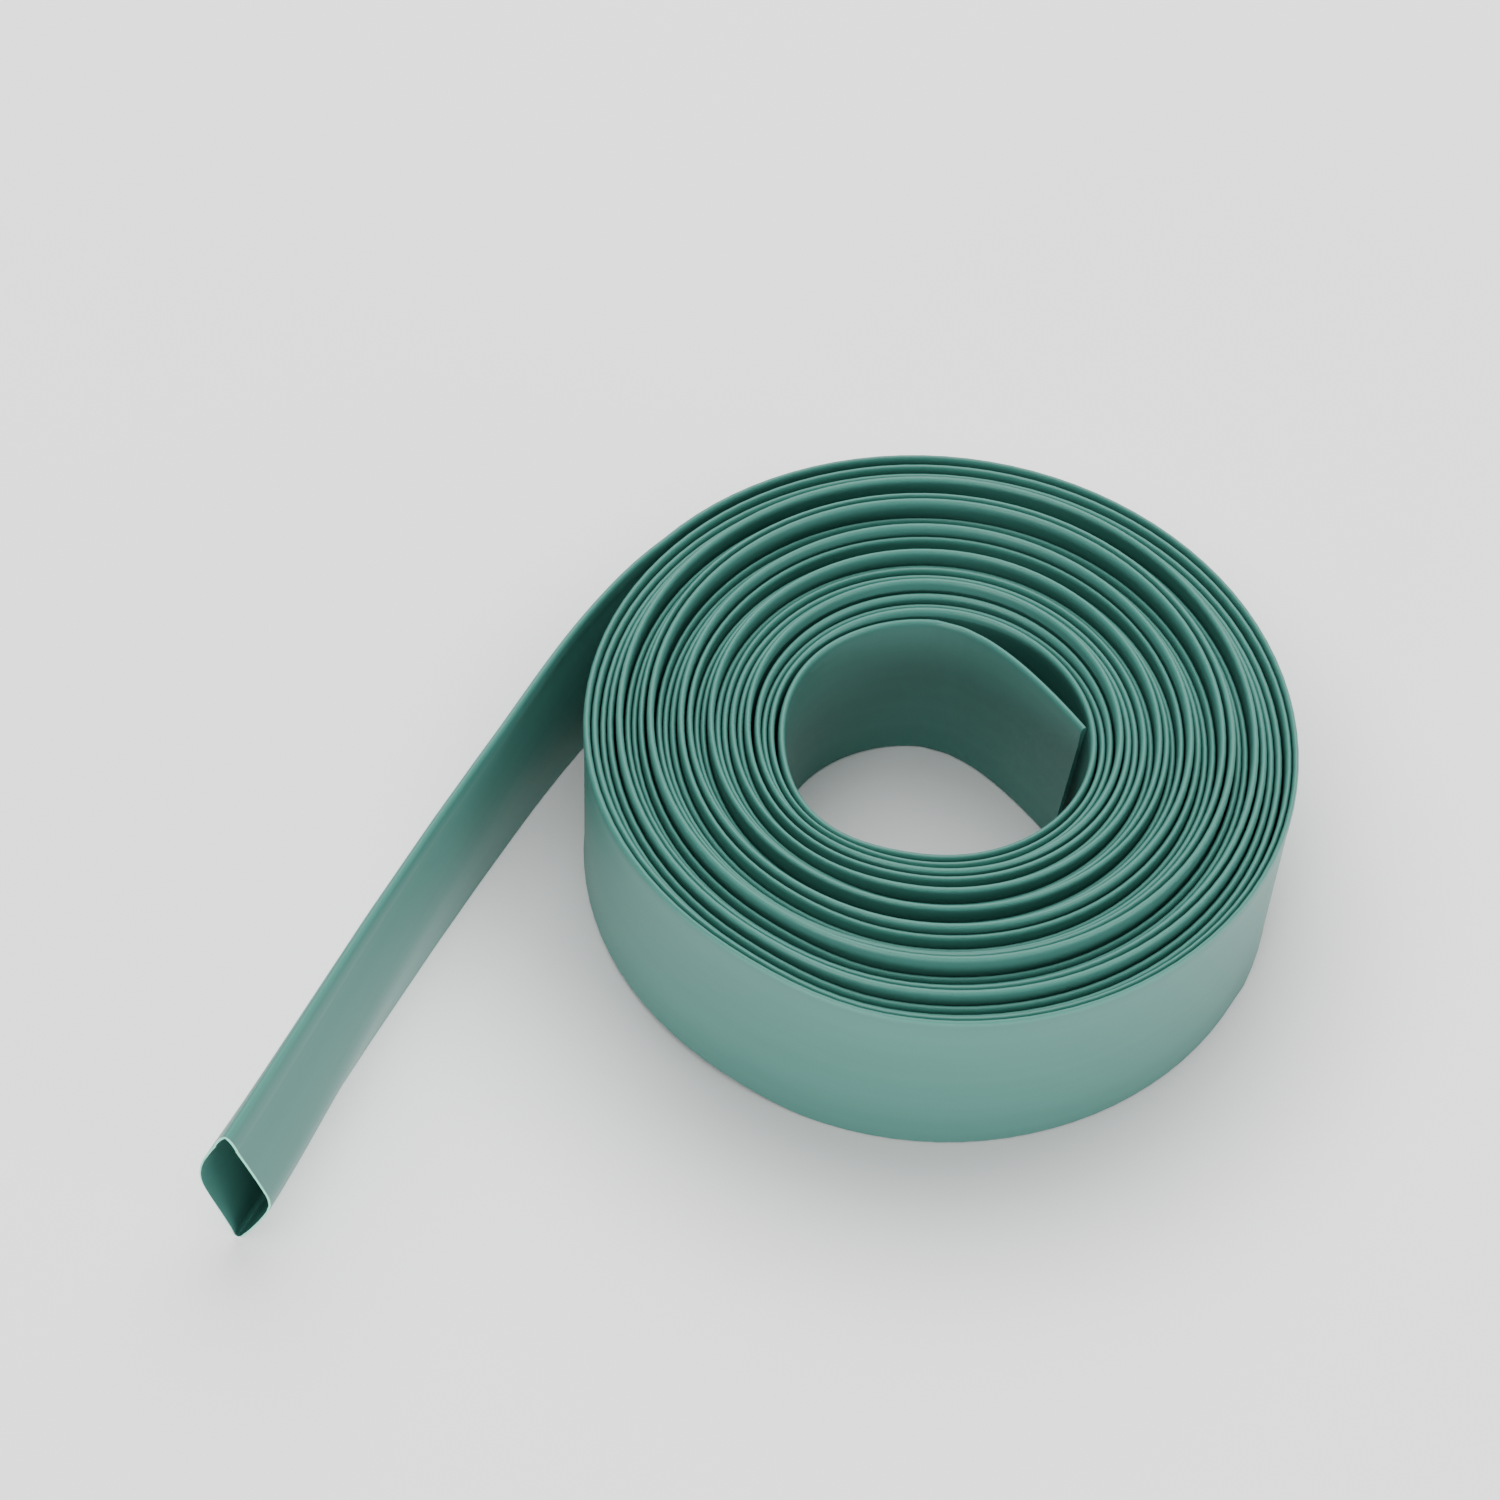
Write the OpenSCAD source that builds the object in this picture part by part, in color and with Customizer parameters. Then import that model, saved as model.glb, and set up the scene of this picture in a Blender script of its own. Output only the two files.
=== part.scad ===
// Coil of plain lay-flat tube. The tube is pressed flat and wound on its folded edge, so the coil
// stands 40 mm tall. The inner end springs away from the innermost turn, and the outer end leaves
// the coil as a free tail that runs along -Y and opens into a diamond-shaped mouth.
// The origin is on the floor at the coil's axis, +Z is up. Lengths are in millimetres.

/* [Tube] */
// Width of the tube when it is pressed flat
flat_width = 40; // [36:1:46]
// Thickness of one wall; the flat tube is two walls thick
wall = 0.45; // [0.3:0.05:0.5]

/* [Coil] */
// Distance from the axis to the innermost turn, on the tail's side
core_r = 28.5; // [28:0.5:32]
// How far the innermost turn sits off the axis, towards the tail's side
core_shift = 0.82; // [0.6:0.02:1]
// Height of the chamfer that stands for the rounded fold
fold_chamfer = 0.3; // [0.1:0.05:0.3]

/* [Tail] */
// Half width of the open mouth
mouth_half = 7; // [5:0.5:9]
// How far back from the mouth the tube stays open
open_length = 62; // [40:2:80]
// How far the top of the cut end leads its bottom
cut_lead = 3.4; // [0:0.2:5]

/* [Joints] */
// Gap between two stretches that flex against each other
flex_gap = 0.6; // [0.5:0.1:1]

/* [Hidden] */

tube_colour = "#4b8778";
end_colour = "#5d9788";
thick = 2 * wall;                       // the flat tube's thickness

// Radial steps between neighbouring turns on the tail's side, from the innermost turn outwards
turn_steps = [1.9, 1.3, 1.3, 1.8, 1.3, 1.4, 1.4, 1.3, 1.3, 1.3, 1.2, 1.3, 1.6,
              1.4, 1.3, 1.2, 1.6, 1.6, 1.2, 1.2, 1.5, 1.6, 1.3, 1.5, 1.5];
turns = len(turn_steps);
leave_step = 2.3;                       // the tail stands further off the turn inside it
close_step = 0.3;                       // on the far side the same turn lies close to the coil
leave_angle = 165;                      // where the tail leaves the coil
inner_arc_r = 23.8;                     // the first quarter turn curls in more tightly
inner_arc_start = 101;                  // where the inner end springs away from it

function sum_to(v, n) = n <= 0 ? 0 : v[n - 1] + sum_to(v, n - 1);

// Where turn k crosses the X axis: on the tail's side, and on the far side half a turn earlier.
// The far side is rounded to 0.01 mm, so that the ends of two half turns match exactly
function near_x(k) = k > turns ? near_x(turns) + leave_step : core_r + sum_to(turn_steps, k);
function rounded(x) = round(x * 100) / 100;
function far_x(k) = rounded(near_x(k - 1) + (k > turns ? close_step : turn_steps[k - 1] / 2)
                            - 2 * core_shift * (1 - pow((k - 1) / turns, 2)));

// The inner end, from the flexing point to its square cut
inner_route = [[-9, 23.2], [-6, 23.3], [-3, 22.9], [0, 22.3], [4, 21.1], [8, 19.6],
               [12, 17.8], [16, 15.8], [20, 13.6], [23.6, 11.5]];

// The tail from the coil to the flexing point halfway along it, and from there to the mouth
tail_route = [[-63.9, 16.8], [-65.1, 13], [-66.2, 9], [-67.1, 5], [-68, 0], [-68.9, -6], [-69.7, -13],
              [-70.3, -21], [-70.7, -29], [-71, -37], [-71.3, -45], [-71.5, -53], [-71.7, -60]];
mouth_route = [[-71.7, -60], [-71.8, -68], [-71.9, -76], [-72, -84], [-72, -92], [-72, -100],
               [-72, -108], [-72, -115], [-72, -122], [-72, -130]];

// Outline of the opened tube: [share of the half width, share of the height], creases at 0 and 1
half_outline = [[0.1, 0], [0.55, 0.18], [0.97, 0.38], [0.97, 0.52], [0.5, 0.78], [0.1, 1]];
outline = concat(half_outline, [for (p = half_outline) [-p[0], 1 - p[1]]]);
sides = len(outline);
crease_share = 0.6;                     // the fold is narrower than two walls

function unit(v) = v / norm(v);
function direction(route, i) =
    unit(route[min(i + 1, len(route) - 1)] - route[max(i - 1, 0)]);
function left_of(d) = [-d[1], d[0]];
function length_after(route, i) =
    i >= len(route) - 1 ? 0 : norm(route[i + 1] - route[i]) + length_after(route, i + 1);

// Half width of the tube at a distance from the mouth, and its height between the creases
function half_width(s) = wall + (mouth_half - wall) * exp(-pow(s / open_length, 1.6));
function height(hw) = sqrt(flat_width * flat_width - 4 * (hw - wall) * (hw - wall));

// One ring of the opened tube. inset moves it inwards by a wall, lead slants it
function ring(centre, dir, hw, inset, lead) = [
    for (p = outline)
        let (share = p[1] == 0 || p[1] == 1 ? crease_share : 1,
             h = height(hw),
             across = p[0] * (hw - wall) + sign(p[0]) * share * (wall - inset),
             up = inset + p[1] * (h - 2 * inset),
             at = centre + across * left_of(dir) + lead * up / h * dir)
        [at[0], at[1], up]
];

// Joins rings into one closed skin: the outer rings, then, if given, the inner rings backwards
module skin(rings) {
    last = len(rings) - 1;
    polyhedron(
        points = [for (r = rings, p = r) p],
        faces = concat(
            [[for (j = [0 : sides - 1]) j]],
            [for (i = [0 : last - 1], j = [0 : sides - 1])
                [i * sides + j, (i + 1) * sides + j,
                 (i + 1) * sides + (j + 1) % sides, i * sides + (j + 1) % sides]],
            [[for (j = [sides - 1 : -1 : 0]) last * sides + j]]),
        convexity = 4);
}

// A flat stretch that follows an arc about the coil, from angle a to angle b
module flat_arc(centre_x, r, a, b) {
    c = fold_chamfer;
    t = thick / 2;
    translate([centre_x, 0, 0]) rotate([0, 0, a]) rotate_extrude(angle = b - a, $fn = 96)
        polygon([[r - t, 0], [r + t, 0], [r + t, flat_width - c], [r + t - c, flat_width],
                 [r - t + c, flat_width], [r - t, flat_width - c]]);
}

// Half a turn on the +Y side that ends at turn k, and half a turn on the -Y side that starts there
module back_half(k, stop = 180) {
    flat_arc((far_x(k) - near_x(k)) / 2, (far_x(k) + near_x(k)) / 2, 0, stop);
}

module front_half(k) {
    flat_arc((far_x(k + 1) - near_x(k)) / 2, (far_x(k + 1) + near_x(k)) / 2, 180, 360);
}

module turns_between(first, last) {
    color(tube_colour) for (k = [first : last]) {
        if (k > 0) back_half(k);
        front_half(k);
    }
}

module inner_end() {
    n = len(inner_route);
    route = [for (i = [0 : n - 1])
        i == 0 ? inner_route[0] + flex_gap * direction(inner_route, 0) : inner_route[i]];
    function side(s) = [for (i = [0 : n - 1]) route[i] + s * wall * left_of(direction(route, i))];
    color(end_colour) linear_extrude(flat_width)
        polygon(concat(side(1), [for (i = [n - 1 : -1 : 0]) side(-1)[i]]));
}

module inner_turns() {
    color(tube_colour) flat_arc(inner_arc_r - core_r, inner_arc_r, 180, inner_arc_start);
    turns_between(0, 8);
}

module middle_turns() {
    turns_between(9, 16);
}

module outer_turns() {
    turns_between(17, 24);
}

module last_turn() {
    turns_between(turns, turns);
    color(tube_colour) back_half(turns + 1, leave_angle);
}

// The solid part of the tail. Both of its ends narrow to the flat thickness, so that they can flex
module tail() {
    n = len(tail_route);
    beyond = length_after(mouth_route, 0);
    color(tube_colour) skin([for (i = [0 : n - 1])
        let (d = direction(tail_route, i),
             shift = i == 0 ? flex_gap : i == n - 1 ? -flex_gap / 2 : 0,
             at_end = i == 0 || i == n - 1,
             s = beyond + length_after(tail_route, i))
        ring(tail_route[i] + shift * d, d, at_end ? wall : half_width(s), 0, 0)]);
}

// The open part of the tail: a skin that turns in at the mouth and runs back inside the tube
module mouth_end() {
    n = len(mouth_route);
    outer = [for (i = [0 : n - 1])
        let (d = direction(mouth_route, i), at_hinge = i == 0, at_mouth = i == n - 1)
        ring(mouth_route[i] + (at_hinge ? flex_gap / 2 : 0) * d, d,
             at_hinge ? wall : half_width(length_after(mouth_route, i)), 0,
             at_mouth ? cut_lead : 0)];
    inner = [for (i = [n - 1 : -1 : 1])
        let (d = direction(mouth_route, i))
        ring(mouth_route[i], d, half_width(length_after(mouth_route, i)), wall,
             i == n - 1 ? cut_lead : 0)];
    color(end_colour) skin(concat(outer, inner));
}

inner_end();
inner_turns();
middle_turns();
outer_turns();
last_turn();
tail();
mouth_end();
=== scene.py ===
import math

import bpy
from mathutils import Matrix, Vector
from mathutils.geometry import normal as face_normal


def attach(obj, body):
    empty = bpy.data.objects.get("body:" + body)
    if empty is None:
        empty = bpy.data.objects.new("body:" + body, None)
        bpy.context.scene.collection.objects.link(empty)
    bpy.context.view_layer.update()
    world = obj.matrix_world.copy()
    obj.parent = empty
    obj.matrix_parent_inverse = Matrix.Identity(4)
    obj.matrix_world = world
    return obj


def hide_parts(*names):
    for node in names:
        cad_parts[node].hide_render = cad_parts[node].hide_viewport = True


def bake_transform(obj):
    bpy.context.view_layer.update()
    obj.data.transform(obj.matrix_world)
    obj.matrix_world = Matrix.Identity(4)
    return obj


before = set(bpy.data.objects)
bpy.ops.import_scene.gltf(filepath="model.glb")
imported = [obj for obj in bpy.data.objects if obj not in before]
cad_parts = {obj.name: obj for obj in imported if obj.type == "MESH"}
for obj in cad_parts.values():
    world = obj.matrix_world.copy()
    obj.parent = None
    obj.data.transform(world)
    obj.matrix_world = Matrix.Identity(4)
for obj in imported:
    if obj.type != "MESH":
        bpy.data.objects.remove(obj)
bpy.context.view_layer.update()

MM = 0.001
NO_SHIFT = Vector((0, 0))

# ---------------------------------------------------------------- sizes, as in the CAD part

FLAT_WIDTH = 0.040
HALF_WIDTH = FLAT_WIDTH / 2
WALL = 0.00045
CORE_R = 0.0285
CORE_SHIFT = 0.00082
LEAVE_STEP = 0.0023
CLOSE_STEP = 0.0003
LEAVE_ANGLE = 165
INNER_ARC_R = 0.0238
MOUTH_HALF = 0.007
OPEN_LENGTH = 0.062
OPEN_FADE = 1.6

# Radial steps between neighbouring turns on the tail's side, in millimetres, from the inside out
TURN_STEPS = [1.9, 1.3, 1.3, 1.8, 1.3, 1.4, 1.4, 1.3, 1.3, 1.3, 1.2, 1.3, 1.6,
              1.4, 1.3, 1.2, 1.6, 1.6, 1.2, 1.2, 1.5, 1.6, 1.3, 1.5, 1.5]
TURNS = len(TURN_STEPS)

INNER_ROUTE = [(-0.009, 0.0232), (-0.006, 0.0233), (-0.003, 0.0229), (0, 0.0223), (0.004, 0.0211),
               (0.008, 0.0196), (0.012, 0.0178), (0.016, 0.0158), (0.020, 0.0136),
               (0.0236, 0.0115)]
TAIL_ROUTE = [(-0.0639, 0.0168), (-0.0651, 0.013), (-0.0662, 0.009), (-0.0671, 0.005),
              (-0.068, 0), (-0.0689, -0.006), (-0.0697, -0.013), (-0.0703, -0.021),
              (-0.0707, -0.029), (-0.071, -0.037), (-0.0713, -0.045), (-0.0715, -0.053),
              (-0.0717, -0.060), (-0.0718, -0.068), (-0.0719, -0.076), (-0.072, -0.084),
              (-0.072, -0.092), (-0.072, -0.100), (-0.072, -0.108), (-0.072, -0.115),
              (-0.072, -0.122), (-0.072, -0.130)]

# ---------------------------------------------------------------- where the pieces meet

# Places along the wound tube are angles about the axis, in degrees, that count whole turns
STARTS_AT = 180                        # the coil's first piece starts here
CUTS = (9, 17)                         # the coil's pieces meet after these many turns
LAST = TURNS + 1                       # the outermost back half belongs to this turn
LEAVES_AT = LAST * 360 + LEAVE_ANGLE   # the tail leaves the coil here
SPLIT_Y = -0.042                       # the tail's two pieces meet here
RINGS_PER_TURN = 96
STEP = 360 / RINGS_PER_TURN
LINE_STEPS = 40                        # steps along the last half turn of the centre line

# ---------------------------------------------------------------- how the turns stand

# How far the top of each turn stands above the flat width, in millimetres, from the inside out:
# at the back, at the front beside the tail, and at the front. Turns that stand proud hide others
BACK_LIFT = [-2.7, -3.1, -3.8, -2.2, 0.1, -1.8, -2.2, -1.6, -2.6, 0.7, -1.2, -2.7, -0.3, 1.7,
             -0.8, -2.1, -1.3, 2.5, 2.2, -0.5, -1.2, 2.4, -0.4, -1.8, -1.8, -0.9, -0.4]
SIDE_LIFT = [-2.4, -1.7, -2.1, 0.0, -0.4, -2.3, 0.0, -2.1, -0.8, 0.9, -2.7, -1.0, 1.2, 0.3,
             -2.0, -1.6, 0.0, 2.1, -0.7, -2.0, -0.3, 1.0, -0.7, -1.5, 0.8, 1.0]
FRONT_LIFT = [-2.0, -1.9, -2.2, 0.1, -0.1, -1.6, 0.5, -2.6, -1.0, 0.8, -2.6, -1.0, 1.0, -0.3,
              -2.5, -1.3, 0.3, 1.7, -2.4, -2.8, -1.0, -0.1, -2.7, -3.2, -1.3, -0.7]
# Where each of the three holds, in degrees about the axis
LIFT_SPANS = [(75, 165), (245, 258), (285, 312)]

BULGE = 0.0019                         # the inner turns bulge outwards beside the tail
BULGE_ANGLE = 246
BULGE_WIDTH = 26
BULGE_TURNS = 7
PRESS = 0.0006                         # the outer turns are pressed inwards there
PRESS_ANGLE = 258
PRESS_WIDTH = 25
PRESS_TURNS = 2.5
TUCK = 0.0010                          # the lower rim of the outer turns is drawn in at the front
TUCK_ANGLE = 280
TUCK_WIDTH = 75
TUCK_TURNS = 3
DRAWN = 0.0013                         # at the back the inner turns are drawn towards the front
DRAWN_ALONG = Vector((0.388, -0.922))
DRAWN_RISE = 1.275                     # they rise by this much for each metre that they are drawn
DRAWN_TURNS = 4
DRAWN_FROM = (55, 105)                 # the draw grows between these angles
DRAWN_TO = (120, 195)                  # and fades between these

GAP = 0.0001                           # the least air between the folds of two turns
FOLD_LEAST = 0.00046                   # least and most half width of a fold
FOLD_MOST = 0.00066


def smooth(t):
    """Eases from 0 to 1 as t does, and stays there."""
    t = min(max(t, 0.0), 1.0)
    return t * t * (3 - 2 * t)


def spread(angle, centre, width):
    """1 at the centre, fading on both sides."""
    return math.exp(-((angle - centre) / width) ** 2)


def near_x(k):
    """Where turn k crosses the X axis on the tail's side."""
    if k > TURNS:
        return near_x(TURNS) + LEAVE_STEP
    return CORE_R + sum(TURN_STEPS[:k]) * MM


def far_x(k):
    """Where it crosses the axis on the far side, half a turn earlier."""
    step = CLOSE_STEP if k > TURNS else TURN_STEPS[k - 1] * MM / 2
    return near_x(k - 1) + step - 2 * CORE_SHIFT * (1 - ((k - 1) / TURNS) ** 2)


def half_turn(turned):
    """Centre on the X axis and radius of the half turn at a place along the wound tube."""
    k = int(turned // 360)
    angle = turned % 360
    if k == 0 and angle < 180:
        return INNER_ARC_R - CORE_R, INNER_ARC_R
    near = near_x(k)
    far = far_x(k) if angle < 180 else far_x(k + 1)
    return (far - near) / 2, (far + near) / 2


def lift_marks():
    """(place, lift in metres) along the whole wound tube."""
    marks = []
    for turn in range(LAST + 1):
        for values, span in zip((BACK_LIFT, SIDE_LIFT, FRONT_LIFT), LIFT_SPANS):
            if turn < len(values):
                marks += [(turn * 360 + angle, values[turn] * MM) for angle in span]
    return marks


MARKS = lift_marks()


def drawn(turned):
    """How far the tube is drawn towards the front."""
    turn = turned // 360 - 1
    if turn < 0:
        return 0.0
    angle = turned % 360
    grown = smooth((angle - DRAWN_FROM[0]) / (DRAWN_FROM[1] - DRAWN_FROM[0]))
    faded = smooth((DRAWN_TO[1] - angle) / (DRAWN_TO[1] - DRAWN_TO[0]))
    return DRAWN * grown * faded * math.exp(-turn / DRAWN_TURNS)


def lift_at(turned):
    """How far the top stands above the flat width."""
    rise = DRAWN_RISE * drawn(turned)
    for (a, low), (b, high) in zip(MARKS, MARKS[1:]):
        if turned <= b:
            return rise + low + (high - low) * smooth((turned - a) / (b - a))
    return MARKS[-1][1]


def out_by(turned):
    """How far the wound tube stands outside its two-centred spiral."""
    turn = turned / 360
    angle = turned % 360
    bulge = BULGE * spread(angle, BULGE_ANGLE, BULGE_WIDTH) * math.exp(-turn / BULGE_TURNS)
    press = PRESS * spread(angle, PRESS_ANGLE, PRESS_WIDTH)
    return bulge - press * math.exp((turn - LAST) / PRESS_TURNS)


def coil_point(turned):
    """Centre of the tube on the plan, and the direction away from the coil's middle."""
    x, r = half_turn(turned)
    a = math.radians(turned)
    out = Vector((math.cos(a), math.sin(a)))
    at = Vector((x, 0)) + (r + out_by(turned)) * out
    return at + drawn(turned) * DRAWN_ALONG, out


def fold_half(turned):
    """Half the width of the folded edge, which fills the room between its neighbours."""
    here = coil_point(turned)[0].length
    gaps = [2 * FOLD_MOST + GAP]
    if turned > STARTS_AT + 360:
        gaps.append(here - coil_point(turned - 360)[0].length)
    if turned + 360 < LEAVES_AT:
        gaps.append(coil_point(turned + 360)[0].length - here)
    return max((min(gaps) - GAP) / 2, FOLD_LEAST)


# ---------------------------------------------------------------- the tube's section

# One side of the flat tube: share of the fold's half width, and distance from the folded edge
TOP_FOLD = [(0.0, 0.0), (0.3, 0.00005), (0.57, 0.0002), (0.79, 0.0005), (0.92, 0.0009),
            (1.0, 0.0016), (0.97, 0.0025), (0.88, 0.0038)]
BOTTOM_FOLD = [(0.9, 0.001), (0.95, 0.0005), (0.6, 0.00012), (0.0, 0.0)]
# Heights of the points between the folds, as shares of the whole height
FLAT_AT = [0.87, 0.75, 0.6, 0.4, 0.2, 0.07]
OPEN_AT = [0.9, 0.84, 0.78, 0.71, 0.64, 0.57, 0.52, 0.48, 0.43, 0.36, 0.29, 0.22, 0.15, 0.08]

# Share of the half width that the opened tube has at shares of its height, on either side
INNER_SHAPE = [(0, 0.0), (0.08, 0.26), (0.2, 0.56), (0.33, 0.84), (0.4, 0.95), (0.46, 0.98),
               (0.52, 0.92), (0.6, 0.79), (0.78, 0.45), (0.92, 0.17), (1, 0.0)]
OUTER_SHAPE = [(0, 0.0), (0.1, 0.15), (0.22, 0.35), (0.34, 0.56), (0.44, 0.72), (0.5, 0.78),
               (0.56, 0.79), (0.63, 0.75), (0.72, 0.63), (0.85, 0.36), (1, 0.0)]
LEAST_SHARE = 0.1                      # an inset section keeps this share of its width


def open_share(shape, p):
    for (a, low), (b, high) in zip(shape, shape[1:]):
        if p <= b:
            return low + (high - low) * (p - a) / (b - a)
    return 0.0


def section(height, fold, marks, opening=0.0, inset=0.0):
    """(distance out, height) down the outer side of the tube's section and up its inner side."""
    down = [(share * fold, height - depth) for share, depth in TOP_FOLD]
    down += [(WALL, height * share) for share in marks]
    down += [(share * fold, depth) for share, depth in BOTTOM_FOLD]
    sides = []
    for side, shape in ((1, OUTER_SHAPE), (-1, INNER_SHAPE)):
        points = []
        for thick, up in down:
            p = up / height
            wide = side * open_share(shape, p) * opening
            if inset:
                thick = max(thick - inset, LEAST_SHARE * thick)
                up = inset + p * (height - 2 * inset)
            points.append((wide + side * thick, up))
        sides.append(points)
    return sides[0] + sides[1][-2:0:-1]


def ring(centre, out, floor, outline, low=NO_SHIFT, high=NO_SHIFT):
    """Places a section at a point of the plan. low and high move its lower and upper rims."""
    top = max(up for _, up in outline)
    placed = []
    for n, up in outline:
        share = up / top
        at = centre + n * out + (1 - share) * low + share * high
        placed.append(Vector((at.x, at.y, floor + up)))
    return placed


# ---------------------------------------------------------------- meshes

def ring_normals(behind, here, ahead):
    count = len(here)
    found = []
    for j in range(count):
        turn = here[(j + 1) % count] - here[j - 1]
        run = ahead[j] - behind[j]
        found.append(turn.cross(run).normalized())
    return found


def part_normals(parts, before, after):
    """One normal for each point. before and after are the rings beyond the first and the last."""
    normals = []
    for part, rings in enumerate(parts):
        first = before if before and part == 0 else rings[0]
        final = after if after and part == len(parts) - 1 else rings[-1]
        chain = [first] + rings + [final]
        for trio in zip(chain, chain[1:], chain[2:]):
            normals += ring_normals(*trio)
    return normals


def tube(name, parts, before=None, after=None):
    """A closed skin through rings, in parts that meet at a sharp edge. The second part is a cut
    edge. before and after are the next rings of the pieces that this one meets."""
    count = len(parts[0][0])
    verts = []
    normals = part_normals(parts, before, after)
    places = []
    faces = []
    is_cut = []
    length = 0.0
    for part, rings in enumerate(parts):
        for i, here in enumerate(rings):
            base = len(verts)
            if i:
                length += (here[0] - rings[i - 1][0]).length
                for j in range(count):
                    a = base - count + j
                    b = base - count + (j + 1) % count
                    faces.append((a, b, b + count, a + count))
                    is_cut.append(part == 1)
            top = max(p.z for p in here)
            verts += here
            # The second value is the depth below the top; the material uses it to paint a
            # highlight along the folds
            places += [(length, top - p.z) for p in here]
    for cap, order in ((parts[0][0], -1), (parts[-1][-1], 1)):
        base = len(verts)
        faces.append(list(range(base, base + count))[::order])
        is_cut.append(False)
        verts += cap
        normals += [face_normal(*cap[::order])] * count
        places += [(length, HALF_WIDTH)] * count
    mesh = bpy.data.meshes.new(name)
    mesh.from_pydata(verts, [], faces)
    uv = mesh.uv_layers.new(name="along")
    for loop in mesh.loops:
        uv.data[loop.index].uv = places[loop.vertex_index]
    mesh.polygons.foreach_set("use_smooth", [True] * len(mesh.polygons))
    mesh.polygons.foreach_set("material_index", [int(c) for c in is_cut])
    mesh.normals_split_custom_set_from_vertices(normals)
    mesh.update()
    obj = bpy.data.objects.new(name, mesh)
    bpy.context.scene.collection.objects.link(obj)
    return obj


def curve_through(points, spacing):
    """(point, direction) along a Catmull-Rom curve through a route."""
    points = [Vector(p) for p in points]
    ends = [2 * points[0] - points[1]] + points + [2 * points[-1] - points[-2]]
    found = []
    for i in range(1, len(ends) - 2):
        a, b, c, d = ends[i - 1:i + 3]
        bend = 2 * a - 5 * b + 4 * c - d
        twist = 3 * b - 3 * c + d - a
        count = max(1, round((c - b).length / spacing))
        last = i == len(ends) - 3
        for j in range(count + last):
            t = j / count
            at = b + 0.5 * ((c - a) * t + bend * t * t + twist * t ** 3)
            run = 0.5 * ((c - a) + 2 * bend * t + 3 * twist * t * t)
            found.append((at, run.normalized()))
    return found


# ---------------------------------------------------------------- the coil

def coil_ring(turned, marks=FLAT_AT, stance=NO_SHIFT):
    centre, out = coil_point(turned)
    lift = lift_at(turned)
    floor = max(lift, 0.0)
    outline = section(FLAT_WIDTH + lift - floor, fold_half(turned), marks)
    share = math.exp((turned / 360 - LAST) / TUCK_TURNS)
    tuck = TUCK * share * spread(turned % 360, TUCK_ANGLE, TUCK_WIDTH)
    return ring(centre + stance, out, floor, outline, low=-tuck * out)


def steps_between(first, last):
    count = round((last - first) / STEP)
    return [first + (last - first) * i / count for i in range(count + 1)]


def coil_rings(first, last, marks=FLAT_AT):
    return [coil_ring(turned, marks) for turned in steps_between(first, last)]


def coil_piece(name, first, last):
    """A stretch of the wound tube between two places."""
    return tube(name, [coil_rings(first, last)], coil_ring(first - STEP), coil_ring(last + STEP))


# ---------------------------------------------------------------- the inner end

FLAP_SET = Vector((-0.0008, 0.0018))   # how far it stands off its route, out from the axis
FLAP_LEAD = 0.0035                     # the cut is shorter at the bottom
FLAP_CUT = 0.012                       # the last stretch, where the cut slants
FLAP_SPACING = 0.0012
SET_FROM = 150                         # it drifts off the first arc from this angle
SET_OVER = 0.036                       # over this length
ARC_STOP = 105                         # the inner end leaves the first arc here


def flap_stance(turned, beyond=0.0):
    drift = math.radians(SET_FROM - turned) * INNER_ARC_R + beyond
    return smooth(drift / SET_OVER) * FLAP_SET


def inner_end_rings():
    """From the cut to where the inner end joins the innermost turn."""
    arc = []
    for turned in steps_between(ARC_STOP, STARTS_AT):
        arc.append(coil_ring(turned, stance=flap_stance(turned)))
    lift = lift_at(ARC_STOP)
    walk = curve_through([coil_point(ARC_STOP)[0]] + INNER_ROUTE[1:], FLAP_SPACING)[1:]
    outline = section(FLAT_WIDTH + lift, fold_half(ARC_STOP), FLAT_AT)
    flap = []
    for i, (at, run) in enumerate(walk):
        out = Vector((-run.y, run.x))
        stance = flap_stance(ARC_STOP, (i + 1) * FLAP_SPACING)
        left = (len(walk) - i) * FLAP_SPACING
        lead = FLAP_LEAD * smooth(1 - left / FLAP_CUT)
        flap.append(ring(at + stance, out, 0.0, outline, low=-lead * run))
    return flap[::-1] + arc


# ---------------------------------------------------------------- the tail and its mouth

TAIL_SPACING = 0.003
TAIL_FIRST = 0.001                     # its first ring stands this far past the coil
TAIL_LEAN = Vector((0.0014, 0))        # its upper fold leans towards the coil
TAIL_FOOT = Vector((-0.0003, 0))       # and its lower fold away from it
LEAN_OVER = 0.060                      # the lean grows over this much of the tail
LIFT_OVER = 0.050                      # the coil's lift fades over this much of it
LEAD_OVER = 0.050                      # the slant of the cut fades over this length
LEAD_UP = 0.062                        # how much the cut leads for each metre up,
LEAD_OUT = 0.17                        # and for each metre towards the outer side
NARROWING = 6                          # how fast the open tube loses height
RIM = 0.0003                           # thickness of the cut rim
BEVEL = 0.00015                        # the rim's inner edge stands out by this much
HOLLOW = 0.058                         # how far the hollow reaches inside the mouth


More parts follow.
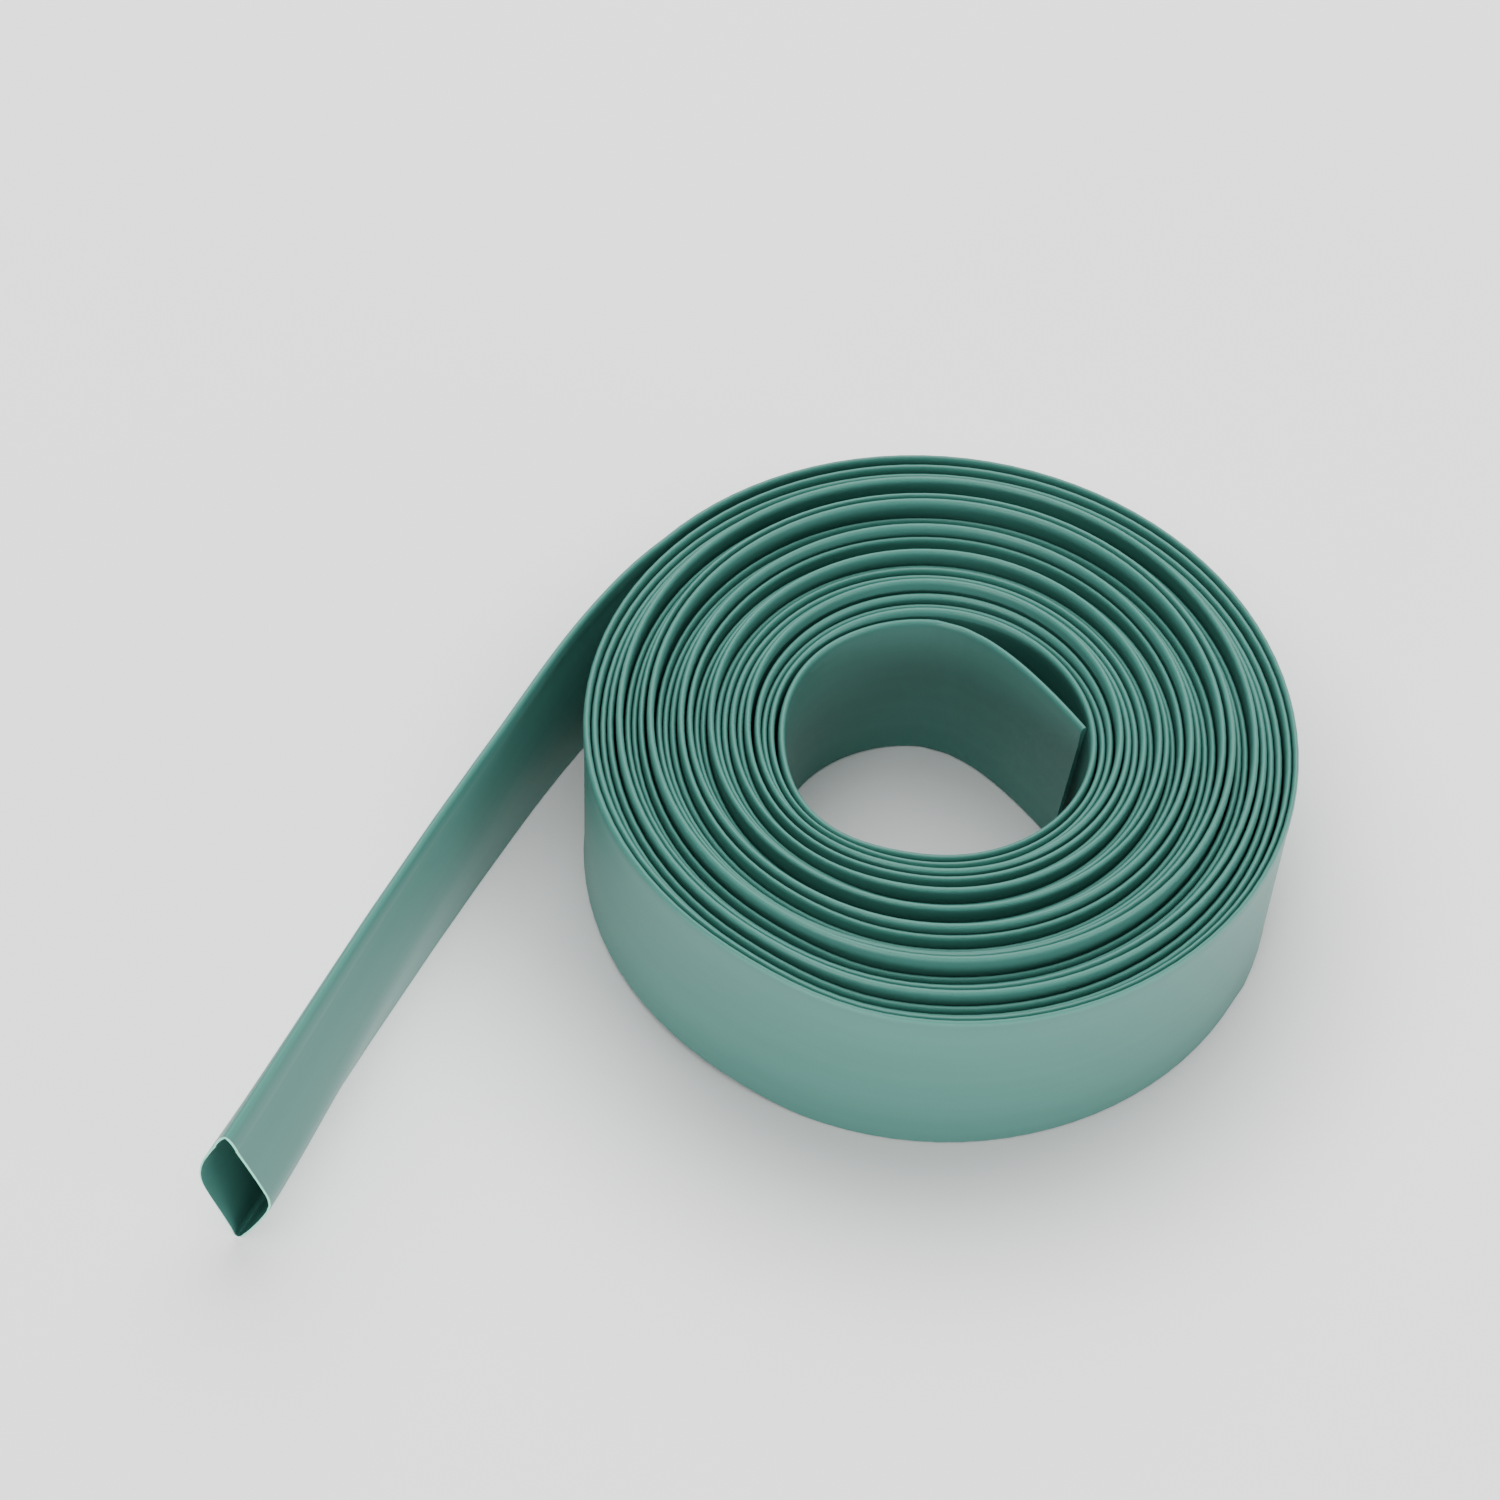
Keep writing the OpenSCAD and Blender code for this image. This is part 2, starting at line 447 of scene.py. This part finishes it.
def tail_ring(at, run, inset=0.0, ahead=0.0):
    gone = TAIL_ROUTE[0][1] - at.y
    left = at.y - TAIL_ROUTE[-1][1]
    out = Vector((run.y, -run.x))
    opening = (MOUTH_HALF - WALL) * math.exp(-((max(left, 0) / OPEN_LENGTH) ** OPEN_FADE))
    lift = lift_at(LEAVES_AT) * (1 - smooth(gone / LIFT_OVER))
    height = math.sqrt(FLAT_WIDTH ** 2 - NARROWING * opening ** 2) + lift
    outline = section(height, fold_half(LEAVES_AT), OPEN_AT, opening, inset)
    lean = smooth(gone / LEAN_OVER)
    placed = ring(at, out, 0.0, outline, lean * TAIL_FOOT, lean * TAIL_LEAN)
    slant = smooth(1 - left / LEAD_OVER)
    for (n, up), p in zip(outline, placed):
        lead = ahead + slant * (LEAD_UP * up + LEAD_OUT * n)
        p.x += lead * run.x
        p.y += lead * run.y
    return placed


def tail_walk():
    before = coil_point(LEAVES_AT - STEP)[0]
    walk = curve_through([before] + TAIL_ROUTE, TAIL_SPACING)
    return [(at, run) for at, run in walk if at.y < TAIL_ROUTE[0][1] - TAIL_FIRST]


def make_hose():
    """The six pieces of the hose, and the line that the last turn and the tail follow."""
    inner_end = tube("tube_inner_end", [inner_end_rings()], after=coil_ring(STARTS_AT + STEP))
    inner = coil_piece("tube_inner_turns", STARTS_AT, CUTS[0] * 360)
    middle = coil_piece("tube_middle_turns", CUTS[0] * 360, CUTS[1] * 360)
    outer = coil_piece("tube_outer_turns", CUTS[1] * 360, LAST * 360)

    walk = tail_walk()
    first = [w for w in walk if w[0].y >= SPLIT_Y]
    rest = [w for w in walk if w[0].y < SPLIT_Y]
    arc = coil_rings(LAST * 360, LEAVES_AT, OPEN_AT)
    tail = [tail_ring(*w) for w in first]
    mouth = [tail_ring(*w) for w in rest]
    hollow = [tail_ring(*w, inset=RIM) for w in rest if w[0].y < TAIL_ROUTE[-1][1] + HOLLOW]
    hollow[-1] = tail_ring(*rest[-1], inset=RIM, ahead=BEVEL)
    last = tube("tube_last_turn", [arc + tail], coil_ring(LAST * 360 - STEP, OPEN_AT), mouth[0])
    parts = [[tail[-1]] + mouth, [mouth[-1], hollow[-1]], hollow[::-1]]
    end = tube("tube_mouth_end", parts, tail[-2])

    turned = [LAST * 360 + LEAVE_ANGLE * i / LINE_STEPS for i in range(LINE_STEPS + 1)]
    line = [coil_point(t)[0] for t in turned] + [w[0] for w in first]
    return inner_end, inner, middle, outer, last, end, line


inner_end, inner, middle, outer, last, end, line = make_hose()

# ---------------------------------------------------------------- what each piece stands for

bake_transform(inner_end)
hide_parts("inner_end")
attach(inner, "coil")
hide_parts("inner_turns")
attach(middle, "coil")
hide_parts("middle_turns")
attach(outer, "coil")
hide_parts("outer_turns")
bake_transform(last)
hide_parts("last_turn", "tail")
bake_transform(end)
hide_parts("mouth_end")

# ---------------------------------------------------------------- material

TUBE_COLOUR = (0.064, 0.212, 0.18)
TUBE_DEEP = (0.05, 0.178, 0.151)
TUBE_ROUGHNESS = 0.44
FOLD_HIGHLIGHT_COLOUR = (0.072, 0.268, 0.22)     # painted highlight: paler along the top of each fold
FOLD_HIGHLIGHT_BAND = (0.0002, 0.0011)           # the painted highlight fades between these depths below the top
CUT_COLOUR = (0.25, 0.76, 0.57)
CUT_ROUGHNESS = 0.5
PLASTIC_IOR = 1.5
PLASTIC_SPECULAR = 0.38
GRAIN_SCALE = (4.0, 260.0, 1.0)        # long along the tube, and fine across it
GRAIN_DETAIL = 3.0
GRAIN_STRENGTH = 0.12
GRAIN_DEPTH = 0.0001
CLOUD_SCALE = 30.0
CLOUD_SHARE = 0.4


def grain_nodes(nodes, links):
    """Fine lines that run along the tube, as the extrusion leaves them."""
    uv = nodes.new("ShaderNodeUVMap")
    uv.uv_map = "along"
    lines = nodes.new("ShaderNodeMapping")
    lines.inputs["Scale"].default_value = GRAIN_SCALE
    links.new(uv.outputs["UV"], lines.inputs["Vector"])
    grain = nodes.new("ShaderNodeTexNoise")
    grain.inputs["Scale"].default_value = 1.0
    grain.inputs["Detail"].default_value = GRAIN_DETAIL
    links.new(lines.outputs["Vector"], grain.inputs["Vector"])
    return uv, grain


def colour_mix(nodes, links, factor, low, high):
    """Mixes two colours by a factor. Each is a colour or the output of a node."""
    mix = nodes.new("ShaderNodeMix")
    mix.data_type = "RGBA"
    links.new(factor, mix.inputs["Factor"])
    for socket, value in (("A", low), ("B", high)):
        if isinstance(value, tuple):
            mix.inputs[socket].default_value = (*value, 1)
        else:
            links.new(value, mix.inputs[socket])
    return mix.outputs["Result"]


def hose_material(name, deep, colour, fold, roughness):
    material = bpy.data.materials.new(name)
    material.use_nodes = True
    nodes = material.node_tree.nodes
    links = material.node_tree.links
    shader = nodes["Principled BSDF"]
    shader.inputs["Roughness"].default_value = roughness
    shader.inputs["IOR"].default_value = PLASTIC_IOR
    shader.inputs["Specular IOR Level"].default_value = PLASTIC_SPECULAR
    uv, grain = grain_nodes(nodes, links)
    cloud = nodes.new("ShaderNodeTexNoise")
    cloud.inputs["Scale"].default_value = CLOUD_SCALE
    links.new(uv.outputs["UV"], cloud.inputs["Vector"])
    share = nodes.new("ShaderNodeMath")
    share.operation = "MULTIPLY_ADD"
    share.use_clamp = True
    share.inputs[1].default_value = CLOUD_SHARE
    links.new(cloud.outputs["Fac"], share.inputs[0])
    links.new(grain.outputs["Fac"], share.inputs[2])
    tone = colour_mix(nodes, links, share.outputs["Value"], deep, colour)
    # Painted highlight: the colour given as fold is mixed in along the top of each fold, fading
    # with depth below the top
    depth = nodes.new("ShaderNodeSeparateXYZ")
    links.new(uv.outputs["UV"], depth.inputs["Vector"])
    band = nodes.new("ShaderNodeMapRange")
    band.interpolation_type = "SMOOTHSTEP"
    band.inputs["From Min"].default_value = FOLD_HIGHLIGHT_BAND[0]
    band.inputs["From Max"].default_value = FOLD_HIGHLIGHT_BAND[1]
    links.new(depth.outputs["Y"], band.inputs["Value"])
    tone = colour_mix(nodes, links, band.outputs["Result"], fold, tone)
    links.new(tone, shader.inputs["Base Color"])
    bump = nodes.new("ShaderNodeBump")
    bump.inputs["Strength"].default_value = GRAIN_STRENGTH
    bump.inputs["Distance"].default_value = GRAIN_DEPTH
    links.new(grain.outputs["Fac"], bump.inputs["Height"])
    links.new(bump.outputs["Normal"], shader.inputs["Normal"])
    return material


tube_material = hose_material("satin_tube", TUBE_DEEP, TUBE_COLOUR, FOLD_HIGHLIGHT_COLOUR, TUBE_ROUGHNESS)
cut_material = hose_material("cut_edge", CUT_COLOUR, CUT_COLOUR, CUT_COLOUR, CUT_ROUGHNESS)
for piece in (inner_end, inner, middle, outer, last, end):
    piece.data.materials.append(tube_material)
end.data.materials.append(cut_material)

# ---------------------------------------------------------------- floor

FLOOR_SIZE = 6.0
FLOOR_LOW = (0.88, 0.88, 0.88)
FLOOR_HIGH = (0.9, 0.9, 0.9)
FLOOR_ROUGHNESS = 0.8
FLOOR_CLOUDS = 3.0
GLOW = 0.75                            # painted light: the floor glows as if brightly lit, and lights the tube,
GLOW_FROM = 0.06                       # but not this near to the coil's axis, which leaves a painted shadow there
GLOW_TO = 0.11


def floor_material():
    material = bpy.data.materials.new("pale_floor")
    material.use_nodes = True
    nodes = material.node_tree.nodes
    links = material.node_tree.links
    shader = nodes["Principled BSDF"]
    shader.inputs["Roughness"].default_value = FLOOR_ROUGHNESS
    noise = nodes.new("ShaderNodeTexNoise")
    noise.inputs["Scale"].default_value = FLOOR_CLOUDS
    tone = colour_mix(nodes, links, noise.outputs["Fac"], FLOOR_LOW, FLOOR_HIGH)
    links.new(tone, shader.inputs["Base Color"])
    # Painted light: the floor glows, fading to a painted shadow near the coil's axis
    coords = nodes.new("ShaderNodeTexCoord")
    away = nodes.new("ShaderNodeVectorMath")
    away.operation = "LENGTH"
    links.new(coords.outputs["Object"], away.inputs[0])
    glow = nodes.new("ShaderNodeMapRange")
    glow.interpolation_type = "SMOOTHSTEP"
    glow.inputs["From Min"].default_value = GLOW_FROM
    glow.inputs["From Max"].default_value = GLOW_TO
    glow.inputs["To Min"].default_value = 0.0
    glow.inputs["To Max"].default_value = GLOW
    links.new(away.outputs["Value"], glow.inputs["Value"])
    shader.inputs["Emission Color"].default_value = (1, 1, 1, 1)
    links.new(glow.outputs["Result"], shader.inputs["Emission Strength"])
    return material


bpy.ops.mesh.primitive_plane_add(size=FLOOR_SIZE, location=(0, 0, 0))
floor = bpy.context.object
floor.name = "floor"
floor.data.materials.append(floor_material())

# ---------------------------------------------------------------- camera and light

TARGET = Vector((-0.03404, -0.0069, 0.020))
CAMERA_DISTANCE = 0.700
CAMERA_TURN = math.radians(22.8)
CAMERA_ELEVATION = math.radians(51.894)
CAMERA_ROLL = math.radians(3.771)
CAMERA_LENS = 90.7
CAMERA_SENSOR = 36

# Name, place, size and power of each lamp
LAMPS = [("back", (-0.3, 0.8, 1.35), 2.0, 38), ("above", (0.0, -0.6, 1.35), 1.0, 6),
         ("front", (0.0, -1.4, 0.25), 0.45, 10), ("right", (1.3, -0.2, 0.35), 0.6, 7)]
LAMP_AIM = Vector((0, 0, 0))
SKY_COLOUR = (1.0, 1.0, 1.0, 1)
SKY_STRENGTH = 0.22


def make_camera():
    spin = Matrix.Rotation(CAMERA_TURN, 3, "Z")
    ahead = spin @ Vector((0, math.cos(CAMERA_ELEVATION), -math.sin(CAMERA_ELEVATION)))
    right = spin @ Vector((1, 0, 0))
    up = right.cross(ahead)
    right_rolled = math.cos(CAMERA_ROLL) * right + math.sin(CAMERA_ROLL) * up
    up_rolled = -math.sin(CAMERA_ROLL) * right + math.cos(CAMERA_ROLL) * up
    data = bpy.data.cameras.new("camera")
    data.lens = CAMERA_LENS
    data.sensor_width = CAMERA_SENSOR
    camera = bpy.data.objects.new("camera", data)
    turned = Matrix((right_rolled, up_rolled, -ahead)).transposed()
    place = Matrix.Translation(TARGET - CAMERA_DISTANCE * ahead)
    camera.matrix_world = place @ turned.to_4x4()
    bpy.context.scene.collection.objects.link(camera)
    bpy.context.scene.camera = camera


def area_light(name, place, size, power):
    data = bpy.data.lights.new(name, "AREA")
    data.shape = "DISK"
    data.size = size
    data.energy = power
    lamp = bpy.data.objects.new(name, data)
    direction = LAMP_AIM - Vector(place)
    lamp.location = place
    lamp.rotation_euler = direction.to_track_quat("-Z", "Y").to_euler()
    bpy.context.scene.collection.objects.link(lamp)


make_camera()
for lamp_values in LAMPS:
    area_light(*lamp_values)

world = bpy.data.worlds.new("studio")
world.use_nodes = True
sky = world.node_tree.nodes["Background"]
sky.inputs["Color"].default_value = SKY_COLOUR
sky.inputs["Strength"].default_value = SKY_STRENGTH
bpy.context.scene.world = world
